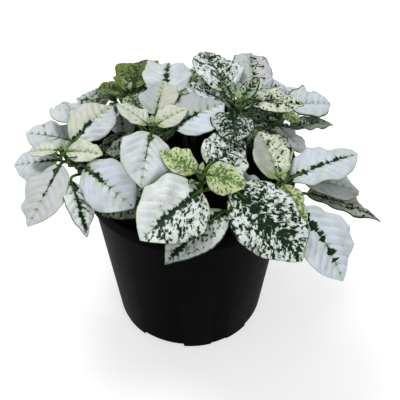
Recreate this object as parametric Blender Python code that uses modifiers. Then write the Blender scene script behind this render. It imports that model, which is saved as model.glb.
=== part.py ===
"""A polka dot plant in a round nursery pot: pot, potting soil, stems and opposite pairs of leaves.

Blender works in metres with +Z up. The origin is the middle of the pot's underside.
Every length below is in millimetres and every angle in degrees. A heading is a plan angle,
counter-clockwise from +X, and the front of the plant faces -Y.
"""

from collections import namedtuple
from math import cos, radians, sin

import bmesh
import bpy
from mathutils import Matrix, Vector

MM = 0.001
GAP = 0.3

# Pot: a straight tapered wall, a stepped band at the lip, a foot ring and a sunk middle.
POT_HEIGHT = 106.0
LIP_HEIGHT = 9.5
LIP_RADIUS = 56.5
WALL_TOP_RADIUS = 53.3
BASE_RADIUS = 40.5
WALL = 1.3
FLOOR = 1.4
FOOT_HEIGHT = 3.0
FOOT_WIDTH = 1.7
SUNK_RADIUS = 29.0
SUNK_SLOPE = 0.6
LIP_SHOULDER = 3.0
EDGE = 0.5
POT_STEPS = 64

# Four wide and four narrow drains are cut in the foot ring, each given by its middle's heading
# and its arc. Over every wide drain there is a round hole in the floor.
DRAINS = 4
WIDE_HEADING = -112
WIDE_ARC = 33
NARROW_HEADING = -66
NARROW_ARC = 13
NARROW_DRAIN_HEIGHT = 1.6
DRAIN_INSIDE = 36.0
DRAIN_OUTSIDE = 42.5
DRAIN_HOLE_RADIUS = 3.5

# Soil: its height at the wall and in the middle, and how deep the stems are planted.
SOIL_EDGE = 90.0
SOIL_MIDDLE = 93.0
SOIL_STEPS = 36
PLANTED_FROM = 84.0
PLANTING_SIDES = 10

# Stems taper from the soil to the bud at the crown.
STEM_RADIUS = 1.5
BUD_RADIUS = 1.0
BUD_TIP = 0.5
STEM_POINTS = 10
STRAIGHT_TO = 95.0
FIRST_RISE = 8.0
BEND_HEIGHT = 108.0
BEND_REACH = 0.93
LAST_RISE = 6.0

# Leaves: the collar round the stem, with three corners to each stalk, the stalk, and the blade's shape.
COLLAR_WIDTH = 0.9
COLLAR_SPREAD = 24
COLLAR_STEP = 50
COLLAR_ROOM = 27
STALK_WIDTH = 1.7
STALK_THICKNESS = 1.2
BLADE_THICKNESS = 0.5
BLADE_STATIONS = (0.14, 0.38, 0.62, 0.85)
BASE_POWER = 0.55
TIP_POWER = 0.80
DROOP = 24
FOLD = 15
ARCH = 0.22

# pitch is the slope of the blade, climb the slope of its stalk. roll lifts the blade's right edge,
# and turn is how far the blade swings left of its stalk.
Leaf = namedtuple("Leaf", "heading pitch length width stalk climb roll turn", defaults=(0, 0))
# drop is how far below the crown the pair leaves the stem.
Pair = namedtuple("Pair", "drop first second")
Shoot = namedtuple("Shoot", "root crown pairs")

SHOOTS = {
    "a": Shoot((-26, -8), (-64, -16, 130), (
        Pair(2, Leaf(164, -20, 18, 12, 3.2, 25), Leaf(-14, 6, 19, 14, 3.2, 35, -18)),
        Pair(8, Leaf(54, 3, 32, 24, 10, 60, -10), Leaf(-118, -25, 36, 24, 8, 22, -9)),
        Pair(15, Leaf(168, -20, 26, 25, 11, 12, 15), Leaf(-40, -14, 34, 28, 15, 41, -26, 24)),
        Pair(23, Leaf(110, -14, 30, 24, 25, 40, -15), Leaf(-71, -25, 31, 17, 20, 27, 30, 46)),
        Pair(30, Leaf(157, -9, 31, 25, 23, 25, 0, 24), Leaf(68, 3, 22, 17, 9, 30)),
    )),
    "b": Shoot((-9, -8), (-18, -18, 148), (
        Pair(2, Leaf(141, 7, 21, 13, 3.2, 35, -10), Leaf(33, 6, 19, 13, 3.2, 40, -12)),
        Pair(8, Leaf(82, -1, 27, 20, 12, 44, 8), Leaf(-98, -17, 31, 27, 8, 60, 22)),
        Pair(15, Leaf(34, 2, 31, 27, 16, 52, -8, 30), Leaf(168, -30, 20, 16, 9, 12)),
        Pair(22, Leaf(89, -9, 33, 27, 32, 36, 0, 10), Leaf(-80, -20, 32, 22, 14, 30)),
    )),
    "c": Shoot((3, -22), (6, -44, 141), (
        Pair(2, Leaf(150, 12, 21, 15, 3.2, 35, 10), Leaf(-10, -14, 20, 17, 3.6, 35, -36)),
        Pair(8, Leaf(46, -6, 27, 26, 10, 54, -26), Leaf(-138, -11, 39, 38, 9, 22, 20, -48)),
        Pair(15, Leaf(-37, -31, 49, 36, 19, 25, -24, -16), Leaf(140, -25, 22, 15, 11, 10)),
    )),
    "d": Shoot((24, -20), (45, -40, 131), (
        Pair(2, Leaf(109, 18, 28, 20, 3.2, 35, 2), Leaf(-53, -30, 22, 13, 3.2, 35, 10)),
        Pair(8, Leaf(27, 0, 40, 27, 9, 34, 3), Leaf(168, -8, 24, 16, 8, 14)),
        Pair(17, Leaf(72, 12, 19, 11, 13, 50, 56, 42), Leaf(-46, -40, 42, 30, 21, 16, -8)),
        Pair(23, Leaf(13, -27, 36, 22, 23, 25), None),
        Pair(30, Leaf(-7, -22, 42, 23, 28, 16, 15), None),
    )),
    "e": Shoot((12, 2), (25, 0, 148), (
        Pair(2, Leaf(130, 30, 12, 8, 4.2, 40), Leaf(46, 26, 14, 9, 4.2, 40, -10)),
        Pair(8, Leaf(144, -4, 26, 17, 9, 36), Leaf(12, -15, 31, 20, 9, 33, 0, -26)),
        Pair(15, Leaf(110, 2, 34, 28, 17, 56, -12), Leaf(-95, -8, 20, 23, 15, 65, 10)),
        Pair(22, Leaf(94, 0, 35, 25, 24, 37, -22, 45),
             Leaf(-58, -6, 22, 15, 18, 24, 20, -45)),
        Pair(29, Leaf(62, -2, 26, 20, 20, 12), None),
    )),
    "f": Shoot((-16, 12), (-32, 19, 139), (
        Pair(2, Leaf(155, -18, 18, 13, 3.2, 35), Leaf(-68, 0, 21, 15, 3.2, 35)),
        Pair(8, Leaf(77, -7, 30, 27, 8, 56, 14), Leaf(-150, -30, 17, 13, 6, 15)),
        Pair(15, Leaf(140, -30, 24, 18, 14, 28, -8), Leaf(64, -16, 27, 18, 17, 38, 15)),
        Pair(22, Leaf(98, 4, 24, 18, 9, 20), None),
    )),
    "g": Shoot((28, 12), (49, 18, 127), (
        Pair(2, Leaf(115, 5, 16, 11, 3.2, 35), Leaf(-50, 5, 11, 8, 3.2, 35)),
        Pair(8, Leaf(24, -17, 28, 22, 10, 42, -10, -20), Leaf(-132, -10, 19, 14, 6, 15)),
        Pair(15, Leaf(-54, -6, 23, 16, 14, 52, 20, 12), Leaf(150, -16, 22, 15, 10, 20)),
        Pair(22, Leaf(20, -13, 26, 15, 21, 42, 12, 40), Leaf(62, 6, 18, 15, 6, 30)),
        Pair(28, Leaf(95, 6, 18, 13, 8, 20), None),
    )),
    "h": Shoot((2, 26), (3, 46, 122), (
        Pair(2, Leaf(20, -16, 20, 13, 3.2, 35), Leaf(200, -16, 20, 13, 3.2, 35)),
        Pair(8, Leaf(100, -30, 32, 22, 10, 15), Leaf(-75, 2, 22, 15, 9, 40)),
        Pair(15, Leaf(40, -22, 30, 22, 13, 30), Leaf(160, -22, 30, 22, 13, 30)),
    )),
    "i": Shoot((22, 28), (42, 48, 115), (
        Pair(2, Leaf(-20, -22, 25, 17, 3.2, 35), Leaf(150, -10, 14, 10, 3.2, 35)),
        Pair(9, Leaf(58, -32, 34, 23, 10, 6), Leaf(-115, -10, 18, 12, 8, 10)),
    )),
    "j": Shoot((-24, 26), (-43, 44, 116), (
        Pair(2, Leaf(205, -22, 25, 17, 3.2, 35), Leaf(30, -12, 14, 10, 3.2, 35)),
        Pair(9, Leaf(126, -32, 34, 23, 10, 6), Leaf(-80, -4, 22, 15, 8, 20)),
    )),
    "k": Shoot((14, -32), (21, -53, 120), (
        Pair(3, Leaf(-139, -16, 40, 24, 6.5, 62, 0, 41), Leaf(-8, -26, 24, 15, 8, 0)),
    )),
    "l": Shoot((-14, -26), (-8, -40, 107), (
        Pair(3, Leaf(-168, -14, 32, 21, 12, 45, 14, 60), Leaf(-10, -16, 16, 11, 8, 20)),
    )),
    "m": Shoot((0, 2), (-3, 14, 128), (
        Pair(2, Leaf(120, -10, 22, 16, 3.2, 30), Leaf(30, -6, 20, 15, 3.2, 30)),
        Pair(10, Leaf(48, -22, 24, 18, 6, 20), Leaf(190, -14, 18, 14, 5, 20)),
    )),
}


def direction(heading, rise):
    """The unit vector of a plan heading that rises at the given slope."""
    flat = cos(radians(rise))
    return Vector((flat * cos(radians(heading)), flat * sin(radians(heading)), sin(radians(rise))))


# ---------------------------------------------------------------- objects and materials


def clear_scene():
    for obj in list(bpy.data.objects):
        bpy.data.objects.remove(obj)


def new_collection(name):
    collection = bpy.data.collections.new(name)
    bpy.context.scene.collection.children.link(collection)
    return collection


def new_material(name, color, roughness):
    material = bpy.data.materials.new(name)
    material.use_nodes = True
    shader = material.node_tree.nodes["Principled BSDF"]
    shader.inputs["Base Color"].default_value = (*color, 1.0)
    shader.inputs["Roughness"].default_value = roughness
    return material


def add_object(name, data, collection, color=None, roughness=0.6):
    obj = bpy.data.objects.new(name, data)
    collection.objects.link(obj)
    if color:
        obj.data.materials.append(new_material(name, color, roughness))
    return obj


def add_cutter(target, name, data, collection):
    cutter = add_object(name, data, collection)
    cutter.hide_render = True
    cutter.display_type = "WIRE"
    cut = target.modifiers.new(name, "BOOLEAN")
    cut.operation = "DIFFERENCE"
    cut.object = cutter
    return cutter


def turned(name, profile, steps, collection, color, roughness):
    """A solid turned round Z from (radius, height) points that run from the axis round to the axis."""
    mesh = bpy.data.meshes.new(name)
    points = [(radius * MM, 0.0, height * MM) for radius, height in profile]
    mesh.from_pydata(points, [(i, i + 1) for i in range(len(points) - 1)], [])
    obj = add_object(name, mesh, collection, color, roughness)
    screw = obj.modifiers.new("turn", "SCREW")
    screw.steps = steps
    screw.render_steps = steps
    screw.use_merge_vertices = True
    screw.merge_threshold = 0.00001
    screw.use_smooth_shade = True
    return obj


# ---------------------------------------------------------------- pot


def wall_radius(height):
    """The outer radius of the pot's wall, below the lip."""
    rise = height / (POT_HEIGHT - LIP_HEIGHT)
    return BASE_RADIUS + (WALL_TOP_RADIUS - BASE_RADIUS) * rise


def pot_profile():
    """From the middle of the floor's top, up the inside, over the lip and down the outside."""
    plate = FOOT_HEIGHT + FLOOR
    lip_base = POT_HEIGHT - LIP_HEIGHT
    inside = [
        (0.0, FLOOR),
        (SUNK_RADIUS, FLOOR),
        (SUNK_RADIUS + FLOOR, plate),
        (wall_radius(plate) - WALL, plate),
        (wall_radius(lip_base) - WALL, lip_base),
        (LIP_RADIUS - WALL, lip_base + LIP_SHOULDER),
        (LIP_RADIUS - WALL, POT_HEIGHT - EDGE),
        (LIP_RADIUS - WALL + 0.8 * EDGE, POT_HEIGHT),
    ]
    outside = [
        (LIP_RADIUS - 0.8 * EDGE, POT_HEIGHT),
        (LIP_RADIUS, POT_HEIGHT - EDGE),
        (LIP_RADIUS, lip_base + EDGE),
        (LIP_RADIUS - EDGE, lip_base),
        (WALL_TOP_RADIUS, lip_base),
        (wall_radius(EDGE), EDGE),
        (BASE_RADIUS - EDGE, 0.0),
    ]
    underside = [
        (BASE_RADIUS - FOOT_WIDTH, 0.0),
        (BASE_RADIUS - FOOT_WIDTH, FOOT_HEIGHT),
        (SUNK_RADIUS + FLOOR + SUNK_SLOPE, FOOT_HEIGHT),
        (SUNK_RADIUS, 0.0),
        (0.0, 0.0),
    ]
    return inside + outside + underside


def drain_block(name, heading, arc, high):
    """A block across an arc of the foot ring, from below the pot up to a height, as a mesh for cutting."""
    shape = bmesh.new()
    low = -1.0
    length = (DRAIN_OUTSIDE - DRAIN_INSIDE) * MM
    width = 2 * DRAIN_OUTSIDE * sin(radians(arc / 2)) * MM
    bmesh.ops.create_cube(shape, size=1.0)
    bmesh.ops.scale(shape, vec=(length, width, (high - low) * MM), verts=shape.verts)
    turn = Matrix.Rotation(radians(heading), 3, "Z")
    bmesh.ops.rotate(shape, cent=(0, 0, 0), matrix=turn, verts=shape.verts)
    place = direction(heading, 0) * (DRAIN_INSIDE + DRAIN_OUTSIDE) / 2 * MM
    place.z = (low + high) / 2 * MM
    bmesh.ops.translate(shape, vec=place, verts=shape.verts)
    return finished(shape, name)


def peg(name, place, radius, low, high, sides):
    """An upright cylinder at a plan position, as a mesh for cutting."""
    shape = bmesh.new()
    size = {"radius1": radius * MM, "radius2": radius * MM, "depth": (high - low) * MM}
    bmesh.ops.create_cone(shape, cap_ends=True, segments=sides, **size)
    middle = Vector((place[0] * MM, place[1] * MM, (low + high) / 2 * MM))
    bmesh.ops.translate(shape, vec=middle, verts=shape.verts)
    return finished(shape, name)


def finished(shape, name):
    mesh = bpy.data.meshes.new(name)
    shape.to_mesh(mesh)
    shape.free()
    return mesh


def build_pot(parts, cutters):
    pot = turned("pot", pot_profile(), POT_STEPS, parts, (0.012, 0.012, 0.012), 0.5)
    for quarter in range(DRAINS):
        wide = WIDE_HEADING + 360 / DRAINS * quarter
        narrow = NARROW_HEADING + 360 / DRAINS * quarter
        mesh = drain_block("drain", wide, WIDE_ARC, FOOT_HEIGHT)
        add_cutter(pot, f"wide_drain_{quarter}", mesh, cutters)
        mesh = drain_block("drain", narrow, NARROW_ARC, NARROW_DRAIN_HEIGHT)
        add_cutter(pot, f"narrow_drain_{quarter}", mesh, cutters)
        hole = direction(wide, 0) * (SUNK_RADIUS + BASE_RADIUS) / 2
        mesh = peg("hole", hole, DRAIN_HOLE_RADIUS, FOOT_HEIGHT - 1, FOOT_HEIGHT + FLOOR + 1, 16)
        add_cutter(pot, f"drain_hole_{quarter}", mesh, cutters)


# ---------------------------------------------------------------- soil


def soil_profile():
    """From the middle of the top, out to the wall, and down to the middle of the floor."""
    plate = FOOT_HEIGHT + FLOOR + GAP
    edge = wall_radius(SOIL_EDGE) - WALL - GAP
    return [
        (0.0, SOIL_MIDDLE),
        (edge * 0.35, SOIL_MIDDLE - 0.4),
        (edge * 0.7, (SOIL_MIDDLE + SOIL_EDGE) / 2),
        (edge, SOIL_EDGE),
        (wall_radius(plate) - WALL - GAP, plate),
        (SUNK_RADIUS + FLOOR - GAP, plate),
        (SUNK_RADIUS - GAP, FLOOR + GAP),
        (0.0, FLOOR + GAP),
    ]


def build_soil(parts, cutters):
    profile = soil_profile()
    soil = turned("potting_soil", profile, SOIL_STEPS, parts, (0.03, 0.02, 0.012), 0.95)
    radius = STEM_RADIUS + 2 * GAP
    for name, shoot in SHOOTS.items():
        mesh = peg("planting", shoot.root, radius, PLANTED_FROM - GAP, STRAIGHT_TO, PLANTING_SIDES)
        add_cutter(soil, f"planting_{name}", mesh, cutters)


# ---------------------------------------------------------------- stems


def stem_point(shoot, along):
    """A point of the stem above the soil: along runs from 0 at the soil to 1 at the crown."""
    root = Vector((*shoot.root, STRAIGHT_TO))
    crown = Vector(shoot.crown)
    rise = Vector((*shoot.root, STRAIGHT_TO + FIRST_RISE))
    bend = Vector((crown.x * BEND_REACH, crown.y * BEND_REACH, min(BEND_HEIGHT, crown.z - LAST_RISE)))
    left = 1 - along
    return left**3 * root + 3 * left**2 * along * rise + 3 * left * along**2 * bend + along**3 * crown


def stem_at(shoot, drop):
    """(point, direction, radius) of the stem at a distance below its crown, found in short steps."""
    steps = 200
    here = stem_point(shoot, 1.0)
    travelled = 0.0
    for step in range(1, steps + 1):
        lower = stem_point(shoot, 1 - step / steps)
        travelled += (here - lower).length
        if travelled >= drop:
            along = 1 - step / steps
            return lower, (here - lower).normalized(), stem_radius(along)
        here = lower
    raise ValueError("the stem is shorter than this drop")


def stem_radius(along):
    return STEM_RADIUS + (BUD_RADIUS - STEM_RADIUS) * along


def build_stem(name, shoot, parts):
    curve = bpy.data.curves.new(name, "CURVE")
    curve.dimensions = "3D"
    curve.bevel_depth = MM
    curve.bevel_resolution = 2
    curve.use_fill_caps = True
    spline = curve.splines.new("POLY")
    spline.points.add(STEM_POINTS)
    planted = Vector((*shoot.root, PLANTED_FROM))
    spline.points[0].co = (*(planted * MM), 1)
    spline.points[0].radius = STEM_RADIUS
    for index in range(STEM_POINTS):
        along = index / (STEM_POINTS - 1)
        spline.points[index + 1].co = (*(stem_point(shoot, along) * MM), 1)
        spline.points[index + 1].radius = stem_radius(along)
    spline.points[STEM_POINTS].radius = BUD_TIP
    add_object(name, curve, parts, (0.16, 0.24, 0.07), 0.6)


# ---------------------------------------------------------------- leaves


def half_width(leaf, station):
    """Half the blade's width at a station from 0, its base, to 1, its tip."""
    widest = BASE_POWER / (BASE_POWER + TIP_POWER)
    peak = widest**BASE_POWER * (1 - widest) ** TIP_POWER
    return leaf.width / 2 * station**BASE_POWER * (1 - station) ** TIP_POWER / peak


def midrib(leaf, station):
    """(offset from the blade's base, direction) of the midrib, which bends down evenly by DROOP."""
    start = radians(leaf.pitch + DROOP / 2)
    bend = radians(DROOP)
    slope = start - bend * station
    run = (sin(start) - sin(slope)) / bend
    rise = (cos(slope) - cos(start)) / bend
    flat = direction(leaf.heading, 0)
    offset = (flat * run + Vector((0, 0, rise))) * leaf.length
    return offset, flat * cos(slope) + Vector((0, 0, sin(slope)))


def blade_sides(leaf, forward):
    """The blade's right and upward directions, rolled about its midrib."""
    right = direction(leaf.heading - 90, 0)
    up = right.cross(forward)
    roll = radians(leaf.roll)
    return right * cos(roll) + up * sin(roll), up * cos(roll) - right * sin(roll)


def blade_point(leaf, base, station, across):
    """A point of the blade. across runs from -1 at the left edge to 1 at the right edge."""
    offset, forward = midrib(leaf, station)
    right, up = blade_sides(leaf, forward)
    half = half_width(leaf, station)
    lift = half * (sin(radians(FOLD)) * abs(across) - ARCH * across * across)
    return base + offset + right * (half * across * cos(radians(FOLD))) + up * lift


def blade_base(leaf, node):
    return node + direction(leaf.heading - leaf.turn, leaf.climb) * leaf.stalk


def stalk_rows(leaf, node, root_row):
    """The rows of three points halfway along the stalk and at the blade's base."""
    base = blade_base(leaf, node)
    half = STALK_WIDTH / 2
    middle = (sum(root_row, Vector()) / 3 + base) / 2
    early = direction(leaf.heading - leaf.turn - 90, 0)
    late, _ = blade_sides(leaf, midrib(leaf, 0)[1])
    mean = (early + late).normalized()
    return [
        [middle - mean * half, middle, middle + mean * half],
        [base - late * half, base, base + late * half],
    ]


def blade_rows(leaf, node):
    base = blade_base(leaf, node)
    rows = []
    for station in BLADE_STATIONS:
        rows.append([blade_point(leaf, base, station, across / 2) for across in range(-2, 3)])
    tip = base + midrib(leaf, 1.0)[0]
    return rows + [[tip]]


def bridge(shape, near, far):
    """Faces between two rows: equal rows, three points to five, or a row to the one point of the tip."""
    if len(near) == len(far):
        last = len(near) - 1
        quads = [(near[i], near[i + 1], far[i + 1], far[i]) for i in range(last)]
    elif len(far) == 1:
        quads = [(near[i], near[i + 1], far[0]) for i in range(len(near) - 1)]
    else:
        quads = [
            (near[0], far[1], far[0]),
            (near[0], near[1], far[2], far[1]),
            (near[1], near[2], far[3], far[2]),
            (near[2], far[4], far[3]),
        ]
    for quad in quads:
        shape.faces.new(quad)


def add_row(shape, near, points):
    """A new row of points, joined to the row before it."""
    far = [shape.verts.new(point) for point in points]
    bridge(shape, near, far)
    return far


def collar_headings(leaves):
    """The plan angles of the collar's corners, and where each leaf's three corners start among them."""
    centres = [(leaf.heading - leaf.turn) % 360 for leaf in leaves]
    order = sorted(range(len(leaves)), key=lambda index: centres[index])
    angles = []
    starts = {}
    for place, index in enumerate(order):
        starts[index] = len(angles)
        centre = centres[index]
        angles += [centre - COLLAR_SPREAD, centre, centre + COLLAR_SPREAD]
        following = centres[order[(place + 1) % len(order)]]
        room = (following - centre) % 360 or 360
        room -= 2 * COLLAR_SPREAD
        steps = max(1, round(room / COLLAR_STEP))
        angles += [centre + COLLAR_SPREAD + room * step / steps for step in range(1, steps)]
    return angles, starts


def add_collar(shape, shoot, pair, leaves):
    """The ring that joins the stalks round the stem. Returns each leaf's three corners, left to right."""
    node, axis, radius = stem_at(shoot, pair.drop)
    inner = (radius + GAP) / cos(radians(COLLAR_ROOM))
    outer = inner + COLLAR_WIDTH
    angles, starts = collar_headings(leaves)
    rings = []
    for reach in (inner, outer):
        ring = []
        for angle in angles:
            spoke = direction(angle, 0)
            spoke = (spoke - axis * spoke.dot(axis)).normalized()
            ring.append(shape.verts.new(node + spoke * reach))
        rings.append(ring)
    count = len(angles)
    for i in range(count):
        j = (i + 1) % count
        shape.faces.new((rings[0][i], rings[1][i], rings[1][j], rings[0][j]))
    corners = []
    for index in range(len(leaves)):
        corners.append([rings[1][(starts[index] + corner) % count] for corner in (2, 1, 0)])
    return node, corners


def build_pair(name, shoot, pair, parts):
    """Both leaves of a node with their collar: an open sheet, thickened most at the stalks."""
    shape = bmesh.new()
    leaves = [leaf for leaf in (pair.first, pair.second) if leaf]
    node, corners = add_collar(shape, shoot, pair, leaves)
    blade = set()
    for leaf, near in zip(leaves, corners):
        root_row = [vertex.co.copy() for vertex in near]
        for row in stalk_rows(leaf, node, root_row):
            near = add_row(shape, near, row)
        for row in blade_rows(leaf, node):
            near = add_row(shape, near, row)
            blade.update(near)
    bmesh.ops.scale(shape, vec=(MM, MM, MM), verts=shape.verts)
    thick = [index for index, vertex in enumerate(shape.verts) if vertex not in blade]
    mesh = finished(shape, name)
    mesh.shade_smooth()
    obj = add_object(name, mesh, parts, (0.80, 0.82, 0.80), 0.5)
    group = obj.vertex_groups.new(name="stalk")
    group.add(thick, 1.0, "REPLACE")
    solid = obj.modifiers.new("thickness", "SOLIDIFY")
    solid.thickness = STALK_THICKNESS * MM
    solid.offset = 0.0
    solid.vertex_group = group.name
    solid.thickness_vertex_group = BLADE_THICKNESS / STALK_THICKNESS


def build():
    clear_scene()
    parts = new_collection("polka_dot_plant")
    cutters = new_collection("cutters")
    build_pot(parts, cutters)
    build_soil(parts, cutters)
    for letter, shoot in SHOOTS.items():
        build_stem(f"stem_{letter}", shoot, parts)
        for number, pair in enumerate(shoot.pairs, start=1):
            build_pair(f"leaf_pair_{letter}{number}", shoot, pair, parts)


build()
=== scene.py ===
"""The looks of a potted polka dot plant: its leaves, stems, soil and pot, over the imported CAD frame.

Lengths are in millimetres, and become metres as a mesh is made. Angles are in degrees. A heading is
a plan angle, counter-clockwise from +X, and the front of the plant faces -Y.
"""

from collections import namedtuple
from functools import partialmethod
from math import cos, pi, radians, sin, tau
from statistics import NormalDist

import bmesh
import bpy
import numpy as np
from mathutils import Matrix, Vector, noise


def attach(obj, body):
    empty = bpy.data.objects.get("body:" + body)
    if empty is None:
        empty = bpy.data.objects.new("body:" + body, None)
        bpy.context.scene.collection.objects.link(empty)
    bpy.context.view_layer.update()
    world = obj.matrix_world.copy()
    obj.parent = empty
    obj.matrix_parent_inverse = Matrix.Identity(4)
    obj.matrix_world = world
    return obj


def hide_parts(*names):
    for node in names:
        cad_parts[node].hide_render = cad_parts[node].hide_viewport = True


MM = 0.001

# The camera looks along +Y and down at the middle of the plant.
CAMERA_ELEVATION = 45.6
CAMERA_DISTANCE = 640.0
CAMERA_TARGET = (5.7, 0.0, 77.7)
CAMERA_LENS = 105.75
CAMERA_SENSOR = 36.0

# Lamps and surroundings, in metres and watts.
Lamp = namedtuple("Lamp", "place size watts")
LAMPS = {"key": Lamp((-0.3, 0.3, 1.4), 0.6, 13.0), "fill": Lamp((0.4, -1.1, 0.9), 0.8, 6.0)}
LAMP_TARGET = (0.0, 0.0, 0.1)
SKY_COLOUR = (0.96, 0.98, 1.0, 1.0)
SKY_STRENGTH = 0.50
STAGE_HALF = 4.0

# Pot, as in the CAD, with a rounder lip.
POT_HEIGHT = 106.0
LIP_HEIGHT = 9.5
LIP_RADIUS = 56.5
WALL_TOP_RADIUS = 53.3
BASE_RADIUS = 40.5
WALL = 1.3
FLOOR = 1.4
FOOT_HEIGHT = 3.0
FOOT_WIDTH = 1.7
SUNK_RADIUS = 29.0
SUNK_SLOPE = 0.6
LIP_SHOULDER = 3.0
POT_STEPS = 160
DRAINS = 4
WIDE_HEADING = -112
WIDE_ARC = 33
NARROW_HEADING = -66
NARROW_ARC = 13
NARROW_DRAIN_HEIGHT = 1.6
DRAIN_INSIDE = 36.0
DRAIN_OUTSIDE = 42.5
DRAIN_HOLE_RADIUS = 3.5
DRAIN_HOLE_SIDES = 32
SHARP_ANGLE = 40

# Soil: its height at the wall and in the middle, its lumps and its loose crumbs.
SOIL_EDGE = 90.0
SOIL_MIDDLE = 93.0
SOIL_RINGS = 44
SOIL_SPOKES = 132
LUMP_HEIGHT = 1.5
CRUMBS = 420
CRUMB_MARGIN = 1.5
CRUMB_STRETCH = (0.6, 1.25)
CLEARANCE = 0.3

# Stems.
STEM_RADIUS = 1.5
BUD_RADIUS = 1.0
STRAIGHT_TO = 95.0
FIRST_RISE = 8.0
BEND_HEIGHT = 108.0
BEND_REACH = 0.93
LAST_RISE = 6.0
STEM_SIDES = 16
STEM_ROWS = 80
STEM_SAMPLES = 201
SQUARENESS = 0.07
PLANTED_HEIGHTS = (86.0, 89.0, 92.0)
TIP_STEPS = (0.9, 1.7, 2.2)
TIP_RADII = (0.85, 0.5, 0.12)
NODE_BULGE = 0.22
NODE_SPREAD = 1.6

# The swollen ring round a stem where its leaves meet.
RING_REACH = 1.5
RING_END = 1.55
RING_BULGE = 0.62
RING_SIDES = 20

# Leaves: the blade's shape. Droop, fold and arch are as in the CAD, and the outline is a little fuller.
BASE_POWER = 0.44
FULLNESS = 1.9
BOW = 0.035
DROOP = 24
FOLD = 15
ARCH = 0.22

# Leaves: the fine relief that the CAD leaves out. QUILT is a share of the vein spacing. RUFFLE, SWELL,
# SCALLOP and WAVY_OUTLINE are shares of the blade's width.
ROWS = 54
COLUMNS = 33
SMALL_ROWS = 20
SMALL_COLUMNS = 13
BLADE_THICKNESS = 0.34
VEIN_SPACING = 1.2
VEIN_GROWTH = 0.10
VEIN_LEAN = 0.62
VEIN_ARCH = 0.020
QUILT = 0.30
MIDRIB_GROOVE = 0.35
RUFFLE = 0.09
SCALLOP = 0.022
SWELL = 0.06
WAVY_OUTLINE = 0.09
TWIST = 7
STALK_RADIUS = 0.75
STALK_SIDES = 12
STALK_ROWS = 14
RIB_ROWS = 18

# Small young leaves: two in the bud at a crown, and some at each lower node. A shape is width over length.
BUD_PITCH = 52
BUD_SHAPE = 0.6
BUD_STALK = 1.0
BUD_CLIMB = 60
AXIL_LEAVES = 3
AXIL_LOOKS = ("dull", "green_white", "dim")
AXIL_LENGTHS = (6.0, 10.0)
AXIL_PITCHES = (20, 45)
AXIL_SHAPE = 0.62
AXIL_STALK = 2.6
AXIL_CLIMB = 35
AXIL_ABOVE = 1.6

# Seeds of the random draws.
FIRST_SEED = 1000
SHOOT_SEEDS = 100
PAIR_SEEDS = 10
BUD_SEED = 500
AXIL_SEED = 700
CRUMB_SEED = 11

# The material slots of a leaf piece.
TOP, UNDERSIDE, STALK = 0, 1, 2

# Colours as they look, from 0 to 1.
COLOURS = {
    "white": (0.765, 0.785, 0.805),
    "pearl": (0.72, 0.73, 0.74),
    "cool": (0.75, 0.775, 0.81),
    "bright": (0.81, 0.825, 0.825),
    "ivory": (0.75, 0.76, 0.70),
    "cream": (0.78, 0.79, 0.72),
    "pale_lime": (0.72, 0.76, 0.56),
    "lime": (0.63, 0.70, 0.40),
    # grey is painted shade where it is a leaf's face colour
    "grey": (0.64, 0.66, 0.66),
    "stone": (0.60, 0.61, 0.58),
    "beige": (0.71, 0.715, 0.66),
    "olive": (0.42, 0.45, 0.21),
    "green": (0.36, 0.41, 0.12),
    "sage": (0.62, 0.68, 0.58),
    "dim": (0.46, 0.50, 0.46),
    "ink": (0.012, 0.130, 0.040),
    "leafy": (0.035, 0.120, 0.045),
    "deep": (0.13, 0.20, 0.05),
    "moss": (0.30, 0.42, 0.14),
    # painted shade for the creases along the side veins
    "painted_crease_shade": (0.52, 0.58, 0.52),
    "patch": (0.68, 0.70, 0.64),
    "ribline": (0.55, 0.62, 0.44),
    "stalk_end": (0.46, 0.55, 0.22),
    "fringe": (0.30, 0.43, 0.22),
    "underside": (0.40, 0.44, 0.28),
    "fuzz": (0.56, 0.60, 0.40),
}

# face and edge: colours of the blade and its margin. left and right: the share of each half that
# dark speckles cover. rib: half the width of the dark midrib mark. branch: how far dark marks follow
# the side veins. base: yellow-green at the stalk. rim: a thin dark outline. mark: the marks' colour.
# other: the right half's colour, where it isn't the left half's. far: the station, from 0 at the base
# to 1 at the tip, where the midrib's mark fades out.
LOOK_FIELDS = "face edge left right rib branch base rim mark other far"
Look = namedtuple("Look", LOOK_FIELDS, defaults=("ink", None, 0.62))

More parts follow.
